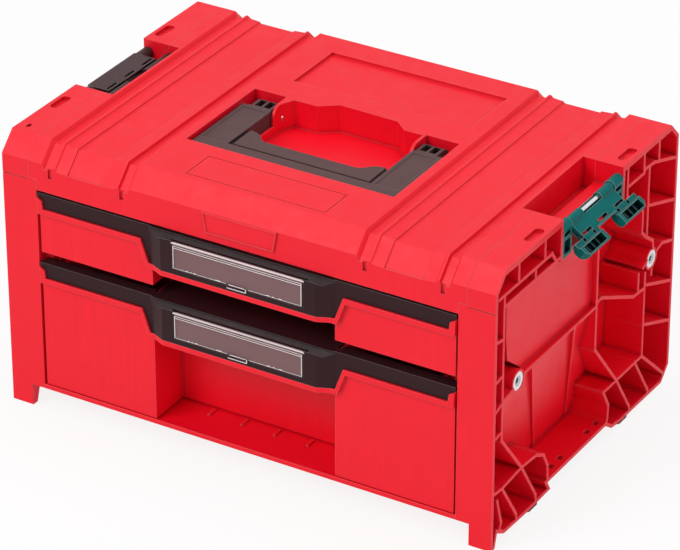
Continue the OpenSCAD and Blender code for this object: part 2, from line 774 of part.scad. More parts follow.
module rear_panel() {
  rear_x = web_x - seam_gap;
  z0 = base_z + shell_t + seam_gap;
  z1 = cover_z - seam_gap;
  color(red) union() {
    block([-rear_x, back_y - rear_depth, z0], [rear_x, back_y - shell_t, z1]);
    // frame and ribs on the outside
    for (z = [for (i = [0:4]) z0 + i*(z1 - shell_t - z0)/4])
      block([-rear_x, back_y - 4, z], [rear_x, back_y, z + shell_t]);
    for (i = [-4:4])
      block([i*(rear_x - 1.5)/4 - 1.5, back_y - 4, z0], [i*(rear_x - 1.5)/4 + 1.5, back_y, z1]);
  }
}

// ---- base plate ----

module base_plate() {
  rear_x = web_x - seam_gap;
  color(red) union() {
    block([-rear_x, front_y + pillar_d - 1, base_z], [rear_x, back_y - 2, base_z + shell_t]);
    block([-pillar_x + seam_gap, front_y, base_z],
          [pillar_x - seam_gap, front_y + pillar_d - shell_t - seam_gap, base_z + shell_t]);
    block([-rear_x, front_y + 2, base_z], [rear_x, front_y + pillar_d, base_z + shell_t]);
    // raised front edge
    block([-pillar_x + seam_gap, front_y, base_z],
          [pillar_x - seam_gap, front_y + 1.6, base_z + shell_t + 0.9]);
    // locating ribs in front of the finger recess
    for (i = [0:3])
      block([-53 + i*31, recess_y - 12, base_z + 1], [-50.5 + i*31, recess_y - 2, base_z + shell_t + 1.2]);
    // ribs on the underside
    for (i = [-5:5])
      block([i*33 - 1.2, front_y + 32, base_z - 7], [i*33 + 1.2, back_y - 14, base_z + 1]);
    for (i = [-3:3])
      block([-rear_x + 8, i*38 - 1.2, base_z - 7], [rear_x - 8, i*38 + 1.2, base_z + 1]);
  }
}

// ---- drawers ----

// (x, z) outline of the bezel front, with an ear at both ends
bezel_end_x = pillar_x - 1.5;
step_x = 93;
lip_side_z = bezel_side_h + lip_h;
lip_pull_z = pull_h + lip_h;
function bezel_points(top) = [
  [-bezel_end_x, top], [-bezel_end_x, top - 4], [-bezel_end_x + 4.5, top - 6.5],
  [-bezel_end_x + 5.5, top - bezel_side_h], [-step_x, top - bezel_side_h],
  [-step_x + 7.5, top - pull_h], [step_x - 7.5, top - pull_h], [step_x, top - bezel_side_h],
  [bezel_end_x - 5.5, top - bezel_side_h], [bezel_end_x - 4.5, top - 6.5],
  [bezel_end_x, top - 4], [bezel_end_x, top]
];

// (x, z) outline of the red lip around the bezel
function lip_points(top) = [
  [-bezel_end_x, top - 4], [-bezel_end_x + 0.6, top - lip_side_z], [-step_x - 1.8, top - lip_side_z],
  [-step_x + 5.7, top - lip_pull_z], [step_x - 5.7, top - lip_pull_z],
  [step_x + 1.8, top - lip_side_z], [bezel_end_x - 0.6, top - lip_side_z], [bezel_end_x, top - 4]
];

// (x, y) outline of the pull's front, moved out by the given distance
pull_half = 71;
function pull_points(d) = [
  [-step_x + 7.5, face_y + 4], [-step_x + 7.5, face_y - bezel_out], [-pull_half, front_y - pull_out + d],
  [pull_half, front_y - pull_out + d], [step_x - 7.5, face_y - bezel_out], [step_x - 7.5, face_y + 4]
];

// Plan outline of a drawer box, anticlockwise
function tray_plan(w) = [
  [-w, face_y], [-recess_half, face_y], [-recess_half, recess_y], [recess_half, recess_y],
  [recess_half, face_y], [w, face_y], [w, face_y + tray_d], [-w, face_y + tray_d]
];

// Box of one drawer with its front, lip, rims and inner divider slots
module tray(z0, h) {
  top = z0 + h;
  bezel_top = top + bezel_rise;
  difference() {
    union() {
      translate([0, 0, z0]) linear_extrude(h) polygon(tray_plan(tray_half));
      // face plates beside the recess
      both_sides()
        block([recess_half, face_y, z0], [face_x, face_y + face_t, bezel_top - bezel_side_h]);
      // runner rims
      both_sides()
        block([tray_half - 1, front_y + pillar_d + 6, top - rim_t],
              [tray_half + rim_w, face_y + tray_d, top]);
    }
    // inside
    translate([0, 0, z0 + tray_t]) linear_extrude(h) polygon(inset(tray_plan(tray_half), tray_t));
    // seat of the bezel
    both_sides()
      block([recess_half + tray_t, face_y - 1, bezel_top - bezel_side_h],
            [face_x + 5, face_y + 6, top + 5]);
    along_y(face_y - 1, face_y + face_t) polygon(bezel_points(bezel_top));
    block([-step_x + 7.5, face_y - 1, bezel_top - pull_h], [step_x - 7.5, face_y + 4, top + 5]);
  }
  // lip under the bezel, with turned-up ends
  difference() {
    along_y(face_y - lip_out, face_y + face_t) polygon(lip_points(bezel_top));
    along_y(face_y - lip_out - 1, face_y + face_t + 1) polygon(bezel_points(bezel_top));
  }
  translate([0, 0, bezel_top - lip_pull_z]) linear_extrude(lip_h) polygon(pull_points(0));
  // stiffening web behind the lip of the pull
  block([-recess_half, face_y, bezel_top - lip_pull_z], [recess_half, face_y + 5, bezel_top - pull_h]);
  // paired ribs that hold a divider
  for (x = [-110, -30, 50, 130], s = [-2.6, 1.2])
    block([x + s, face_y + tray_d - tray_t - 3, z0 + 1], [x + s + 1.4, face_y + tray_d - 1, top - 6]);
}

module upper_tray() {
  color(red) tray(upper_z, upper_h);
}

module lower_tray() {
  color(red) tray(lower_z, lower_h);
}

// Dark bezel with the bowed pull and the seat for the window
module bezel(z0, h) {
  top = z0 + h + bezel_rise;
  pull_y = front_y - pull_out;
  difference() {
    union() {
      // flat front, resting on the lip
      along_y(face_y - bezel_out, face_y + face_t) polygon(bezel_points(top));
      // bowed pull
      translate([0, 0, top - pull_h]) linear_extrude(pull_h) polygon(pull_points(0));
      // top that closes the recess
      translate([0, 0, top - 3]) linear_extrude(3) polygon([
        [-step_x + 9.5, recess_y - 0.3], [-step_x + 9.5, face_y], [step_x - 9.5, face_y],
        [step_x - 9.5, recess_y - 0.3]
      ]);
      // top edge behind the flat sides
      both_sides()
        block([recess_half + tray_t + 0.5, face_y, top - 2], [bezel_end_x - 1, face_y + 9, top]);
    }
    // hollow back of the pull
    translate([0, 0, top - pull_h - 1]) linear_extrude(pull_h - 9) polygon([
      [-step_x + 10, face_y + 5], [-step_x + 10, face_y + 1], [-pull_half + 1, pull_y + 3.6],
      [pull_half - 1, pull_y + 3.6], [step_x - 10, face_y + 1], [step_x - 10, face_y + 5]
    ]);
    // seat for the window
    block([-label_w/2 - 1, pull_y - 1, label_bottom(top) - 1],
          [label_w/2 + 1, pull_y + label_seat, label_top(top) + 3.2]);
    // room for the bar along the window's top edge
    block([-label_w/2 - 1, pull_y - 1, label_top(top) - label_barrel_r - 0.4],
          [label_w/2 + 1, label_y() + label_barrel_r + 0.3, label_top(top) + 3.2]);
    // bores for the bar's ends
    rod_x(label_pin_r + pin_gap, -label_w/2 - 2.6, label_w/2 + 2.6, label_y(), label_top(top));
    // slanting top edge over the pull
    translate([0, pull_y, top - 7.5]) rotate([45, 0, 0])
      translate([-pull_half - 12, -20, 0]) cube([2*pull_half + 24, 20, 20]);
    // slanting top edge of the flat sides
    translate([0, face_y - bezel_out, top - 1.8]) rotate([45, 0, 0])
      translate([-half_w, -6, 0]) cube([2*half_w, 6, 6]);
  }
  // hinge ears of the window
  both_sides()
    difference() {
      block([label_w/2 + 1.2, pull_y + 0.3, label_top(top) - 2.2],
            [label_w/2 + 3.4, pull_y + 5, label_top(top) + 2.4]);
      rod_x(label_pin_r + pin_gap, label_w/2, label_w/2 + 2.6, label_y(), label_top(top));
    }
}

label_seat = 2.4;
label_pin_r = 1.1;
label_barrel_r = 1.6;
function label_top(top) = top - 6.8;
function label_bottom(top) = label_top(top) - label_h;
function label_y() = front_y - pull_out + 1.9;

module upper_bezel() {
  color(black) bezel(upper_z, upper_h);
}

module lower_bezel() {
  color(black) bezel(lower_z, lower_h);
}

// Clear flap that turns up about the bar along its top edge
module label_window(z0, h) {
  top = z0 + h + bezel_rise;
  y0 = front_y - pull_out;
  zt = label_top(top);
  zb = label_bottom(top);
  union() {
    block([-label_w/2, y0, zb], [label_w/2, y0 + label_t, zt]);
    rod_x(label_barrel_r, -label_w/2, label_w/2, label_y(), zt);
    rod_x(label_pin_r, -label_w/2 - 2.2, label_w/2 + 2.2, label_y(), zt);
    // raised line below the bar and around the flap
    block([-label_w/2, y0 - 0.5, zt - 3.6], [label_w/2, y0 + 0.5, zt - 2.4]);
    for (x = [-label_w/2, label_w/2 - 1.2])
      block([x, y0 - 0.4, zb], [x + 1.2, y0 + 0.5, zt - 3]);
    // snap tab
    block([-9, y0 - 1.4, zb - 0.8], [9, y0 + 0.5, zb + 1]);
    block([-9, y0 - 1.4, zb - 2.8], [9, y0 - 0.1, zb]);
  }
}

module upper_label_window() {
  color(clear) label_window(upper_z, upper_h);
}

module lower_label_window() {
  color(clear) label_window(lower_z, lower_h);
}

// ---- handle ----

module handle() {
  bar_y = hinge_y - handle_reach;
  arm_in = handle_half - arm_w;
  tongue_in = arm_in + 1.5;
  tongue_out = handle_half - 6.5;
  thick = 11;
  arm_h = handle_top - pocket_z - 2;
  grip = [
    [-arm_in - 1, bar_y + bar_w - 1], [arm_in + 1, bar_y + bar_w - 1], [arm_in + 1, bar_y + 44],
    [63, bar_y + 43.6], [56, bar_y + 42.5], [52, bar_y + 40], [48, bar_y + 35], [44, bar_y + 32.4],
    [40, bar_y + 31.8], [-40, bar_y + 31.8], [-44, bar_y + 32.4], [-48, bar_y + 35],
    [-52, bar_y + 40], [-56, bar_y + 42.5], [-63, bar_y + 43.6], [-arm_in - 1, bar_y + 44]
  ];
  color(brown) difference() {
    union() {
      both_sides() {
        // wide arm
        block([arm_in, bar_y, handle_top - thick], [handle_half, hinge_y - 12.5, handle_top]);
        block([arm_in, bar_y + 4, handle_top - arm_h], [handle_half, hinge_y - 12.5, handle_top - 1]);
        // narrow tongue to the hinge
        block([tongue_in, hinge_y - 13, handle_z - 5], [tongue_out, hinge_y, handle_top - 0.6]);
        rod_x(handle_top - 0.6 - handle_z, tongue_in, tongue_out, hinge_y, handle_z);
      }
      block([-handle_half, bar_y, handle_top - thick], [handle_half, bar_y + bar_w, handle_top]);
      // lower grip along the bar, with swept corners
      translate([0, 0, handle_top - 8]) linear_extrude(5) polygon(grip);
    }
    both_sides() {
      rod_x(handle_pin_r + pin_gap, arm_in - 1, handle_half + 1, hinge_y, handle_z);
      // moulded slots beside the hinge
      for (x = [tongue_in + 2.2, tongue_in + 10.4])
        block([x, hinge_y - 9, handle_top - 5.5], [x + 6.2, hinge_y + 2.5, handle_top + 1]);
      // shallow panel on the arm
      block([arm_in + 3, bar_y + 14, handle_top - 0.5], [handle_half - 3, hinge_y - 16, handle_top + 1]);
    }
    // groove between the bar and the lower grip
    block([-arm_in, bar_y + bar_w, handle_top - 6.6], [arm_in, bar_y + bar_w + 1.8, handle_top]);
    // hollow underside of the bar
    block([-handle_half + 3, bar_y + 3, handle_top - thick - 1],
          [handle_half - 3, bar_y + bar_w - 3, handle_top - 4]);
  }
}

module handle_pins() {
  color(steel) both_sides()
    rod_x(handle_pin_r, bowl_half - 0.6, pocket_out + shell_t - 1, hinge_y, handle_z);
}

// ---- latches ----

// Latch turned about its axis: 0 is level outwards, 180 is folded in over the deck
module latch(a) {
  claw_in = 13.5;
  claw_out = notch_half - 0.8;
  arm_t = 3;
  root = 17.5;
  tip = latch_reach;
  rim = 3.5;
  lower = 5;
  body_out = carrier_in - 0.6;
  module level() {
    difference() {
      union() {
        // barrels on the pin, with their necks
        for (s = [-1, 1]) {
          rod_y(barrel_r, min(s*15, s*body_out), max(s*15, s*body_out), 0, 0);
          block([0, min(s*15, s*body_out), -arm_t/2], [barrel_r + 2, max(s*15, s*body_out), arm_t/2]);
        }
        // cover plate under the pin
        block([-barrel_r + 0.4, -body_out, -barrel_r - 0.6], [root, body_out, -barrel_r + 1]);
        // flat arm with a small upstand between the claws
        block([latch_pin_r + 1.2, -body_out, -arm_t/2], [root + 1, body_out, arm_t/2]);
        block([root - 0.4, -claw_in - 1, -arm_t/2], [root + 1, claw_in + 1, arm_t/2 + 1.2]);
        // claws
        for (s = [-1, 1])
          translate([0, (s < 0) ? -claw_out : claw_in, 0]) rotate([90, 0, 0]) mirror([0, 0, 1])
            linear_extrude(claw_out - claw_in) polygon([
              [root - 1, -arm_t/2], [root + 3, -lower], [tip - 3, -lower], [tip, -lower + 3],
              [tip, rim - 1], [tip - 1, rim], [root + 4, rim], [root + 3, arm_t/2], [root - 1, arm_t/2]
            ]);
      }
      rod_y(latch_pin_r + pin_gap, -60, 60, 0, 0);
      // slots through the cover plate and the arm
      for (y = [-26, 0, 26])
        block([root - 4.2, y - 7, -barrel_r - 2], [root - 1.8, y + 7, arm_t]);
      // long pocket in each claw, with low ribs on its floor
      for (s = [-1, 1]) {
        translate([root + 5, s*(claw_in + claw_out)/2 - 14.2, -lower + 4.8])
          cube([tip - root - 6.4, 28.4, lower + rim]);
        for (k = [0:3])
          translate([root + 5, s*(claw_in + claw_out)/2 - 14.2 + k*7.4, -lower + 1.6])
            cube([tip - root - 6.4, 6.2, lower + rim]);
      }
      // holes at the root of the claws
      for (s = [-1, 1], y = [20, 36])
        translate([root + 1.2, s*y, -lower - 1]) cylinder(r = 1.7, h = lower + rim + 2);
      // corner of each claw
      for (s = [-1, 1])
        translate([tip, s*claw_out, -lower - 1]) rotate([0, 0, 45])
          translate([-3, -3, 0]) cube([6, 6, lower + rim + 2]);
    }
  }
  translate([axis_x, latch_y, axis_z]) rotate([0, a, 0]) level();
}

module latch_right() {
  color(teal) latch(latch_open_angle);
}

module latch_left() {
  color(brown) mirror([1, 0, 0]) latch(180);
}

// Brackets that hold both ends of the latch pin on the side panel
module latch_carrier() {
  z0 = case_h - 35.5;
  translate([0, latch_y, 0])
    for (s = [-1, 1]) {
      y0 = min(s*(carrier_in + 0.2), s*carrier_out);
      y1 = max(s*(carrier_in + 0.2), s*carrier_out);
      difference() {
        union() {
          rod_y(carrier_r, y0, y1, axis_x, axis_z);
          block([carrier_x, y0, z0], [carrier_x + 3, y1, axis_z]);
          for (y = [y0, y1 - 2.2])
            block([carrier_x, y, z0], [half_w, y + 2.2, axis_z - 1.5]);
          for (z = [z0, axis_z - 9])
            block([carrier_x, y0, z], [half_w, y1, z + 3]);
        }
        rod_y(latch_pin_r, -60, 60, axis_x, axis_z);
      }
    }
}

module latch_carrier_right() {
  color(teal) latch_carrier();
}

module latch_carrier_left() {
  color(brown) mirror([1, 0, 0]) latch_carrier();
}

module latch_pin() {
  rod_y(latch_pin_r, latch_y - carrier_out + 1, latch_y + carrier_out - 1, axis_x, axis_z);
}

module latch_pin_right() {
  color(steel) latch_pin();
}

module latch_pin_left() {
  color(steel) mirror([1, 0, 0]) latch_pin();
}

side_panel_left();
side_panel_right();
runner_plate_left();
runner_plate_right();
top_cover();
rear_panel();
base_plate();
foot_pads();
side_sleeves();
side_screws();
latch_carrier_left();
latch_carrier_right();
latch_pin_left();
latch_pin_right();
handle();
handle_pins();
latch_left();
latch_right();
upper_tray();
upper_bezel();
upper_label_window();
lower_tray();
lower_bezel();
lower_label_window();
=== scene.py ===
"""Looks of the portable tool box with drawers: materials, small details, light and camera."""
import math

import bmesh
import bpy
from mathutils import Matrix, Vector


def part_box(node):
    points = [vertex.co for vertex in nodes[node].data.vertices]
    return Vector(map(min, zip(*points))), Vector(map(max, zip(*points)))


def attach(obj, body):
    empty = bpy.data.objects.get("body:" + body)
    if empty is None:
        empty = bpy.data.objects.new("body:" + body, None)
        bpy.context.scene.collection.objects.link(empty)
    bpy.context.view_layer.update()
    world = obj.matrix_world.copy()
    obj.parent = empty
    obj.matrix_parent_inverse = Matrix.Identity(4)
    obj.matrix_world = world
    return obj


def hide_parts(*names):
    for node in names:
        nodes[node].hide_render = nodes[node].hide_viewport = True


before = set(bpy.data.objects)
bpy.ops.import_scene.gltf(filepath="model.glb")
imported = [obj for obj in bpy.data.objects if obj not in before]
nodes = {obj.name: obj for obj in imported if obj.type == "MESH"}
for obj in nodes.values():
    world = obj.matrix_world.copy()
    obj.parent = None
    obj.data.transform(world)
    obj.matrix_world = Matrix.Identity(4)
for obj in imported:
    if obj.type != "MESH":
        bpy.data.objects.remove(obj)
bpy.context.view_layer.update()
MM = 0.001


# ---------------------------------------------------------------- materials

class Tree:
    """A material's node tree with short calls for the nodes used here."""

    def __init__(self, name):
        self.material = bpy.data.materials.new(name)
        self.material.use_nodes = True
        self.tree = self.material.node_tree
        self.shader = self.tree.nodes["Principled BSDF"]
        coords = self.node("ShaderNodeTexCoord")
        self.place = coords.outputs["Object"]

    def node(self, kind, **settings):
        made = self.tree.nodes.new(kind)
        for key, value in settings.items():
            setattr(made, key, value)
        return made

    def link(self, start, end):
        self.tree.links.new(start, end)

    def noise(self, scale, detail=2.0, roughness=0.5):
        made = self.node("ShaderNodeTexNoise")
        made.inputs["Scale"].default_value = scale
        made.inputs["Detail"].default_value = detail
        made.inputs["Roughness"].default_value = roughness
        self.link(self.place, made.inputs["Vector"])
        return made.outputs["Fac"]

    def span(self, value, low, high, to_low=0.0, to_high=1.0):
        made = self.node("ShaderNodeMapRange")
        ends = {"From Min": low, "From Max": high, "To Min": to_low, "To Max": to_high}
        for socket, number in ends.items():
            made.inputs[socket].default_value = number
        self.link(value, made.inputs["Value"])
        return made.outputs["Result"]

    def blend(self, factor, first, second):
        """Colour between two colours or colour sockets."""
        made = self.node("ShaderNodeMix", data_type="RGBA")
        self.link(factor, made.inputs["Factor"])
        for socket, colour in (("A", first), ("B", second)):
            target = [s for s in made.inputs if s.name == socket and s.type == "RGBA"][0]
            if isinstance(colour, tuple):
                target.default_value = (*colour, 1.0)
            else:
                self.link(colour, target)
        return [s for s in made.outputs if s.type == "RGBA"][0]

    def bump(self, height, distance, strength=1.0, normal=None):
        made = self.node("ShaderNodeBump")
        made.inputs["Distance"].default_value = distance
        made.inputs["Strength"].default_value = strength
        self.link(height, made.inputs["Height"])
        if normal is not None:
            self.link(normal, made.inputs["Normal"])
        return made.outputs["Normal"]

    def soft_edges(self, radius):
        made = self.node("ShaderNodeBevel", samples=6)
        made.inputs["Radius"].default_value = radius
        return made.outputs["Normal"]

    def edge_mask(self, rounded, low=0.02, high=0.30):
        """1 on the edges of the solid and 0 on its flats, from the rounded normal; it places the painted
        highlight on edges.
        """
        geometry = self.node("ShaderNodeNewGeometry")
        dot = self.node("ShaderNodeVectorMath", operation="DOT_PRODUCT")
        self.link(rounded, dot.inputs[0])
        self.link(geometry.outputs["Normal"], dot.inputs[1])
        return self.span(dot.outputs["Value"], 1.0 - low, 1.0 - high)

    def crease_shade_mask(self, reach):
        """Mask for painted shade: 0 in corners and narrow grooves of the piece itself, where shade falls, and
        1 on its open faces.
        """
        made = self.node("ShaderNodeAmbientOcclusion", samples=5, only_local=True)
        made.inputs["Distance"].default_value = reach
        return self.span(made.outputs["AO"], 0.25, 0.92)

    def streaks(self, scale):
        """Noise drawn out along the given axes, as flow lines in a moulding."""
        made = self.node("ShaderNodeTexNoise")
        stretch = self.node("ShaderNodeMapping")
        stretch.inputs["Scale"].default_value = scale
        self.link(self.place, stretch.inputs["Vector"])
        self.link(stretch.outputs["Vector"], made.inputs["Vector"])
        return made.outputs["Fac"]


def darker(colour, share):
    return tuple(channel*share for channel in colour)


def lighter(colour, share):
    return tuple(channel + (1.0 - channel)*share for channel in colour)


def moulded(name, colour, shade_colour, roughness, edge=0.12, level=0.5, grain=0.00003, radius=0.0006, reach=0.006):
    """Moulded plastic: fine grain, faint flow lines, painted shade in corners and narrow grooves, and edges
    painted lighter as a painted highlight.
    """
    t = Tree(name)
    rounded = t.soft_edges(radius)
    flow = t.blend(t.span(t.noise(11.0, 3.0, 0.55), 0.35, 0.65), darker(colour, 0.94), colour)
    lines = t.blend(t.span(t.streaks((48.0, 48.0, 3.0)), 0.38, 0.64), darker(colour, 0.955), flow)
    # Painted highlight: edges of the solid are painted lighter, by the edge share, as if they caught the
    # light.
    edge_highlight = t.blend(t.edge_mask(rounded), lines, lighter(colour, edge))
    # Painted shade: corners and narrow grooves of the piece take the shade colour, by ambient occlusion.
    t.link(t.blend(t.crease_shade_mask(reach), shade_colour, edge_highlight), t.shader.inputs["Base Color"])
    t.link(t.span(t.noise(70.0, 4.0, 0.6), 0.3, 0.7, roughness - 0.05, roughness + 0.06),
           t.shader.inputs["Roughness"])
    t.link(t.bump(t.noise(1400.0, 1.0), grain, 1.0, rounded), t.shader.inputs["Normal"])
    t.shader.inputs["Specular IOR Level"].default_value = level
    return t.material


def plated_steel(name):
    """Bright steel with fine drawn lines."""
    t = Tree(name)
    t.shader.inputs["Metallic"].default_value = 1.0
    lines = t.streaks((900.0, 60.0, 900.0))
    t.link(t.blend(lines, (0.55, 0.57, 0.60), (0.86, 0.87, 0.88)), t.shader.inputs["Base Color"])
    t.link(t.span(lines, 0.3, 0.7, 0.18, 0.34), t.shader.inputs["Roughness"])
    t.link(t.bump(lines, 0.00001), t.shader.inputs["Normal"])
    return t.material


def rubber_pad(name):
    """Dull black rubber with a coarse skin."""
    t = Tree(name)
    t.link(t.blend(t.noise(240.0, 3.0), (0.012, 0.010, 0.010), (0.035, 0.030, 0.030)),
           t.shader.inputs["Base Color"])
    t.link(t.span(t.noise(90.0), 0.3, 0.7, 0.70, 0.88), t.shader.inputs["Roughness"])
    t.link(t.bump(t.noise(2200.0), 0.00005), t.shader.inputs["Normal"])
    return t.material


def clear_plastic(name, colour, alpha, level=0.5):
    """Tinted clear plastic with fine scratches, seen over what lies behind it."""
    t = Tree(name)
    t.link(t.blend(t.noise(30.0, 4.0, 0.6), darker(colour, 0.80), colour), t.shader.inputs["Base Color"])
    t.link(t.span(t.streaks((40.0, 40.0, 2600.0)), 0.35, 0.7, 0.10, 0.26), t.shader.inputs["Roughness"])
    t.link(t.bump(t.noise(60.0), 0.0002, 0.4, t.soft_edges(0.0004)), t.shader.inputs["Normal"])
    t.shader.inputs["Specular IOR Level"].default_value = level
    t.shader.inputs["Alpha"].default_value = alpha
    return t.material


RED = (0.87, 0.002, 0.017)
BLACK = (0.028, 0.0085, 0.0105)
BROWN = (0.082, 0.034, 0.035)
LATCH_BROWN = (0.055, 0.023, 0.026)
TEAL = (0.0, 0.135, 0.130)

# The third colour of each moulded plastic is its painted shade in corners and grooves; the edge share sets
# its painted edge highlight.
red_plastic = moulded("red_plastic", RED, (0.48, 0.0, 0.012), 0.45, edge=0.15, level=0.31,
                      radius=0.0008, reach=0.005)
black_plastic = moulded("black_plastic", BLACK, (0.004, 0.002, 0.002), 0.40, edge=0.13, level=0.13,
                        grain=0.00002, radius=0.0009)
handle_plastic = moulded("handle_plastic", BROWN, (0.008, 0.003, 0.003), 0.46, edge=0.16, level=0.22,
                         radius=0.0008)
latch_brown = moulded("latch_brown", LATCH_BROWN, (0.006, 0.002, 0.002), 0.32, edge=0.24, level=0.12,
                      radius=0.0009)
latch_teal = moulded("latch_teal", TEAL, (0.0, 0.010, 0.010), 0.24, edge=0.50, level=0.07,
                     radius=0.0009, reach=0.009)
white_plastic = moulded("white_plastic", (0.86, 0.87, 0.88), (0.20, 0.22, 0.23), 0.35, edge=0.3)
steel = plated_steel("plated_steel")
rubber = rubber_pad("rubber_pad")
window_plastic = clear_plastic("window_plastic", (0.27, 0.145, 0.15), 0.70, level=0.3)
# Pale clear plastic for the strips that paint highlights on the windows' edges.
window_highlight_plastic = clear_plastic("window_highlight_plastic", (0.88, 0.80, 0.80), 0.92)
# Dark teal-black for the flat stars that paint the shade inside the screws' sockets.
socket_shade = moulded("socket_shade", (0.003, 0.050, 0.056), (0.001, 0.012, 0.014), 0.30, edge=0.0, level=0.2,
                     radius=0.0001)

MATERIAL_OF = {
    "side_panel_left": red_plastic, "side_panel_right": red_plastic, "runner_plate_left": red_plastic,
    "runner_plate_right": red_plastic, "top_cover": red_plastic, "rear_panel": red_plastic,
    "base_plate": red_plastic, "upper_tray": red_plastic, "lower_tray": red_plastic,
    "foot_pads": rubber, "side_sleeves": white_plastic, "side_screws": steel,
    "latch_carrier_left": latch_brown, "latch_left": latch_brown,
    "latch_carrier_right": latch_teal, "latch_right": latch_teal,
    "latch_pin_left": steel, "latch_pin_right": steel, "handle_pins": steel,
    "handle": handle_plastic, "upper_bezel": black_plastic, "lower_bezel": black_plastic,
    "upper_label_window": window_plastic, "lower_label_window": window_plastic,
}
for name, material in MATERIAL_OF.items():
    nodes[name].data.materials.clear()
    nodes[name].data.materials.append(material)


# ---------------------------------------------------------------- small pieces

# Millimetres, in the frame of the solids. Rim and dome are (distance outwards, radius) pairs.
WINDOW_HALF = 59.0
WINDOW_FRONT = -158.5
WINDOW_HEIGHT = 21.0
WINDOW_BARREL = 1.6    # from the top of the window to the axis of its bar
# Small painted highlights along a window's lower edge, as (x, width) pairs.
WINDOW_GLINTS = ((-47.0, 1.8), (-43.2, 1.2), (-40.0, 2.2), (-20.0, 5.0), (27.0, 2.6), (32.5, 1.4), (38.0, 3.0))
TAB_FACE = 0.95        # how far the flattened tab stands before the window's front
LINE_FACE = 1.38       # how far the painted highlight strips on the tab stand before it
LINE_BACK = 0.9        # where the tab's painted highlight strips and the painted shade of its slot begin
TAB_LEFT, TAB_SIDE, TAB_RIGHT = -8.8, 8.2, 9.0
EDGE_GAP = 10.0        # half of the gap that the tab leaves in the lower edge

SCREW_FACE, SCREW_Y, SCREW_Z = 223.2, 112.0, 134.0
SCREW_RIM = ((-0.4, 0), (-0.4, 3.8), (0.1, 3.9), (0.25, 3.7), (0.2, 3.5), (0.02, 3.4), (0.02, 0))
SOCKET_OUTER, SOCKET_INNER = 3.3, 1.9
SOCKET_LIFT, SOCKET_THICKNESS = 0.05, 0.10

PIN_END = (62.4, 12.0, 231.0)
PIN_DOME = ((-0.3, 0), (-0.3, 2.7), (0.25, 2.6), (0.65, 2.1), (0.95, 1.2), (1.05, 0))

GRIP_HALF = ((62.6, -62.8), (62.6, -36.4), (56.0, -37.6), (51.6, -40.0), (47.6, -45.0), (43.8, -47.6),
             (40.0, -48.2))
GRIP_BELOW_TOP, GRIP_THICKNESS = 0.5, 2.6
GROOVE_SHADE_BELOW_TOP, GROOVE_SHADE_THICKNESS = 3.05, 1.2

FRAME_FLOOR, FRAME_FACE = 242.6, 243.6
FRAME_LINE = 1.45
FRAME_ROWS = (-130.95, -98.05)
FRAME_COLUMNS = (-63.95, 62.5)


def solid(bm, corners, depth):
    """Closed plate over a list of corners, thickened by the depth vector."""
    first = [bm.verts.new(c) for c in corners]
    second = [bm.verts.new(Vector(c) + Vector(depth)) for c in corners]
    bm.faces.new(first[::-1])
    bm.faces.new(second)
    for i in range(len(first)):
        j = (i + 1) % len(first)
        bm.faces.new((first[i], first[j], second[j], second[i]))


def bar(bm, low, high):
    """Bar between two corners in millimetres."""
    x0, y0, z0 = (c*MM for c in low)
    x1, y1, z1 = (c*MM for c in high)
    solid(bm, [(x0, y0, z0), (x1, y0, z0), (x1, y0, z1), (x0, y0, z1)], (0, y1 - y0, 0))


def turned(bm, centre, side, profile, sides=32):
    """Round form about a line along X: (distance outwards, radius) pairs in millimetres, ends on the axis."""
    rings = []
    for out, radius in profile:
        x = (centre[0] + side*out)*MM
        if radius == 0:
            rings.append([bm.verts.new((x, centre[1]*MM, centre[2]*MM))])
            continue
        turns = (2*math.pi*i/sides for i in range(sides))
        rings.append([bm.verts.new((x, (centre[1] + radius*math.cos(a))*MM,
                                    (centre[2] + radius*math.sin(a))*MM)) for a in turns])
    for one, two in zip(rings, rings[1:]):
        for i in range(sides):
            j = (i + 1) % sides
            if len(one) == 1:
                bm.faces.new((one[0], two[i], two[j]))
            elif len(two) == 1:
                bm.faces.new((one[j], one[i], two[0]))
            else:
                bm.faces.new((one[i], two[i], two[j], one[j]))


def finished(name, bm, material, body, edge=0.0):
    """Turns a bmesh into a piece with soft edges that rides on a body."""
    bmesh.ops.recalc_face_normals(bm, faces=bm.faces)
    mesh = bpy.data.meshes.new(name)
    bm.to_mesh(mesh)
    bm.free()
    piece = bpy.data.objects.new(name, mesh)
    bpy.context.scene.collection.objects.link(piece)
    mesh.materials.append(material)
    if edge:
        soft = piece.modifiers.new("soft", "BEVEL")
        soft.width = edge*MM
        soft.segments = 2
        soft.limit_method = "ANGLE"
    else:
        mesh.shade_smooth()
    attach(piece, body)


def window_flap(level):
    """The label window itself, with a flatter tab that leaves room for the painted shade of its slot and its
    painted highlight strips.
    """
    node = nodes[f"{level}_label_window"]
    mesh = node.data.copy()
    mesh.transform(node.matrix_world)
    for vertex in mesh.vertices:
        vertex.co.y = max(vertex.co.y, (WINDOW_FRONT - TAB_FACE)*MM)
    piece = bpy.data.objects.new(f"{level}_window_flap", mesh)
    bpy.context.scene.collection.objects.link(piece)
    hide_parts(node.name)
    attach(piece, f"{level}_window")


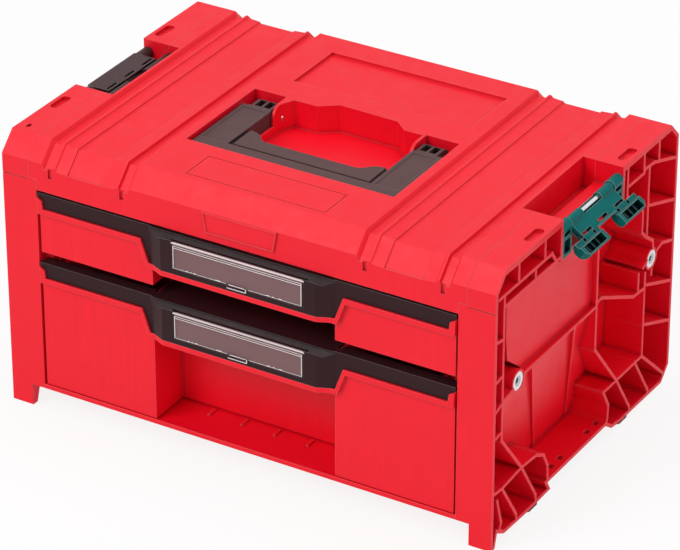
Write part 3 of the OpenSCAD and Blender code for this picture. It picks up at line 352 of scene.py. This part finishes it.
def window_highlight_strips(level):
    """Painted highlights on the edges of a label window, as pale strips: bar, two lines below it, sides,
    lower edge, marks and tab.
    """
    half, front = WINDOW_HALF, WINDOW_FRONT
    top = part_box(f"{level}_label_window")[1].z/MM - WINDOW_BARREL
    bottom = top - WINDOW_HEIGHT
    bm = bmesh.new()
    bar(bm, (-half - 1.8, front - 0.1, top + 0.55), (half + 1.8, front + 1.3, top + 1.65))
    bar(bm, (-half, front - 0.75, top - 2.85), (half, front - 0.2, top - 2.35))
    bar(bm, (-half, front - 0.55, top - 1.2), (half, front + 0.1, top - 0.85))
    for side in (-1, 1):
        inner, outer = sorted((side*(half - 0.75), side*half))
        bar(bm, (inner, front - 0.65, bottom), (outer, front + 0.3, top - 0.9))
    bar(bm, (-half, front - 0.35, bottom), (-EDGE_GAP, front + 0.3, bottom + 0.35))
    bar(bm, (EDGE_GAP, front - 0.35, bottom), (half, front + 0.3, bottom + 0.35))
    for x, width in WINDOW_GLINTS:
        bar(bm, (x, front - 0.45, bottom + 0.1), (x + width, front + 0.2, bottom + 1.0))
    bar(bm, (TAB_LEFT, front - LINE_FACE, bottom - 2.85), (TAB_RIGHT, front - LINE_BACK, bottom - 2.15))
    bar(bm, (TAB_SIDE, front - LINE_FACE, bottom - 2.85), (TAB_RIGHT, front - LINE_BACK, bottom + 0.8))
    bar(bm, (-7.0, front - LINE_FACE, bottom + 0.35), (7.5, front - LINE_BACK, bottom + 0.95))
    finished(f"{level}_window_highlight_strips", bm, window_highlight_plastic, f"{level}_window", 0.12)
    bm = bmesh.new()
    # Painted shade: a black bar where the tab's slot lies in shade.
    bar(bm, (TAB_LEFT, front - 1.20, bottom - 2.1), (TAB_SIDE, front - LINE_BACK, bottom + 0.35))
    finished(f"{level}_window_tab_slot_shade", bm, black_plastic, f"{level}_window", 0.15)


def screw_drives():
    """Raised rim on each of the four screws of the sides, and a flat dark six-point star on it as painted
    shade of the socket.
    """
    rims, stars = bmesh.new(), bmesh.new()
    for side in (-1, 1):
        for y in (-SCREW_Y, SCREW_Y):
            turned(rims, (side*SCREW_FACE, y, SCREW_Z), side, SCREW_RIM)
            x = side*SCREW_FACE + side*SOCKET_LIFT
            star = [(SOCKET_OUTER if i % 2 == 0 else SOCKET_INNER, math.pi*i/6) for i in range(12)]
            corners = [(x*MM, (y + r*math.cos(a))*MM, (SCREW_Z + r*math.sin(a))*MM) for r, a in star]
            solid(stars, corners, (side*SOCKET_THICKNESS*MM, 0, 0))
    finished("side_screw_rims", rims, steel, "case")
    finished("side_screw_socket_shade", stars, socket_shade, "case", 0.03)


def pin_heads():
    """Domed ends of the handle's pins in the walls of the deck's bowl."""
    bm = bmesh.new()
    for side in (-1, 1):
        turned(bm, (side*PIN_END[0], PIN_END[1], PIN_END[2]), -side, PIN_DOME)
    finished("handle_pin_heads", bm, steel, "case")


def grip_plate():
    """Raised face of the handle's lower grip, and a black strip as painted shade in the groove before it and
    at its right end.
    """
    handle_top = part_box("handle")[1].z
    outline = list(GRIP_HALF) + [(-x, y) for x, y in GRIP_HALF[::-1]]
    bm = bmesh.new()
    face = handle_top - GRIP_BELOW_TOP*MM
    solid(bm, [(x*MM, y*MM, face) for x, y in outline], (0, 0, -GRIP_THICKNESS*MM))
    finished("handle_grip_plate", bm, handle_plastic, "handle", 0.4)
    # Painted shade: a black strip on the groove's floor where its shadow falls.
    bm = bmesh.new()
    z = handle_top/MM - GROOVE_SHADE_BELOW_TOP
    bar(bm, (-65.9, -64.3, z), (65.9, -62.3, z + GROOVE_SHADE_THICKNESS))
    bar(bm, (62.1, -62.4, z), (65.9, -37.0, z + GROOVE_SHADE_THICKNESS))
    finished("handle_grip_groove_shade", bm, black_plastic, "handle", 0.2)


def deck_frame_floor():
    """Raised floor of the frame line on the front of the deck, so that the line stays shallow."""
    bm = bmesh.new()
    for y in FRAME_ROWS:
        bar(bm, (-63.95, y, FRAME_FLOOR), (63.95, y + FRAME_LINE, FRAME_FACE))
    for x in FRAME_COLUMNS:
        bar(bm, (x, -129.6, FRAME_FLOOR), (x + FRAME_LINE, -98.0, FRAME_FACE))
    finished("deck_frame_floor", bm, red_plastic, "case", 0.2)


for level in ("upper", "lower"):
    window_flap(level)
    window_highlight_strips(level)
screw_drives()
pin_heads()
grip_plate()
deck_frame_floor()


# ---------------------------------------------------------------- floor, light and camera

def seen_directly(tree):
    """1 for camera, glossy and transmission rays, 0 for the light that falls on the object."""
    path = tree.nodes.new("ShaderNodeLightPath")
    first = tree.nodes.new("ShaderNodeMath")
    second = tree.nodes.new("ShaderNodeMath")
    for made in (first, second):
        made.operation = "MAXIMUM"
    tree.links.new(path.outputs["Is Camera Ray"], first.inputs[0])
    tree.links.new(path.outputs["Is Glossy Ray"], first.inputs[1])
    tree.links.new(first.outputs[0], second.inputs[0])
    tree.links.new(path.outputs["Is Transmission Ray"], second.inputs[1])
    return second.outputs[0]


def stage_floor():
    """Pale floor that is nearly white to the camera where the object throws no shadow."""
    bpy.ops.mesh.primitive_plane_add(size=30.0, location=(0, 0, -0.0005))
    floor = bpy.context.object
    floor.name = "floor"
    t = Tree("floor")
    t.link(t.blend(t.noise(3.0), (0.90, 0.90, 0.90), (0.93, 0.93, 0.93)), t.shader.inputs["Base Color"])
    t.shader.inputs["Roughness"].default_value = 0.9
    t.shader.inputs["Specular IOR Level"].default_value = 0.0
    white = t.node("ShaderNodeEmission")
    mix = t.node("ShaderNodeMixShader")
    t.link(t.span(seen_directly(t.tree), 0.0, 1.0, 0.0, 0.86), mix.inputs["Fac"])
    t.link(t.shader.outputs["BSDF"], mix.inputs[1])
    t.link(white.outputs["Emission"], mix.inputs[2])
    t.link(mix.outputs["Shader"], t.tree.nodes["Material Output"].inputs["Surface"])
    floor.data.materials.append(t.material)


def studio_world(seen, lit):
    """White round the object; the light it gives is weaker than the white that shows."""
    world = bpy.data.worlds.new("studio")
    bpy.context.scene.world = world
    world.use_nodes = True
    tree = world.node_tree
    background = tree.nodes["Background"]
    strength = tree.nodes.new("ShaderNodeMapRange")
    tree.links.new(seen_directly(tree), strength.inputs["Value"])
    strength.inputs["To Min"].default_value = lit
    strength.inputs["To Max"].default_value = seen
    tree.links.new(strength.outputs["Result"], background.inputs["Strength"])
    background.inputs["Color"].default_value = (1.0, 1.0, 1.0, 1.0)


def softbox(name, place, target, size, power):
    data = bpy.data.lights.new(name, "AREA")
    data.shape = "SQUARE"
    data.size = size
    data.energy = power
    lamp = bpy.data.objects.new(name, data)
    bpy.context.scene.collection.objects.link(lamp)
    lamp.location = place
    lamp.rotation_euler = (Vector(target) - Vector(place)).to_track_quat("-Z", "Y").to_euler()


def photo_camera():
    """Camera of the photograph, fitted to eleven measured corners of the case."""
    azimuth, elevation, roll = (math.radians(a) for a in (30.95, 29.36, -0.04))
    back = Vector((math.sin(azimuth)*math.cos(elevation), -math.cos(azimuth)*math.cos(elevation),
                   math.sin(elevation)))
    level = Vector((math.cos(azimuth), math.sin(azimuth), 0.0))
    upright = back.cross(level)
    right = level*math.cos(roll) + upright*math.sin(roll)
    up = upright*math.cos(roll) - level*math.sin(roll)
    data = bpy.data.cameras.new("photo_camera")
    camera = bpy.data.objects.new("photo_camera", data)
    bpy.context.scene.collection.objects.link(camera)
    matrix = Matrix((right, up, back)).transposed().to_4x4()
    matrix.translation = Vector((1.4225, -2.3750, 1.6656))
    camera.matrix_world = matrix
    data.sensor_width = 36.0
    data.lens = 206.3
    data.clip_end = 60.0
    bpy.context.scene.camera = camera


stage_floor()
studio_world(seen=1.0, lit=0.42)
softbox("key", (-1.3, -2.6, 2.6), (0, 0, 0.1), 1.8, 72.0)
softbox("top", (0.3, 0.6, 2.8), (0, 0, 0.2), 2.0, 26.0)
softbox("side", (2.8, -0.8, 1.2), (0, 0, 0.1), 1.6, 17.0)
photo_camera()
bpy.context.scene.view_settings.view_transform = "Standard"
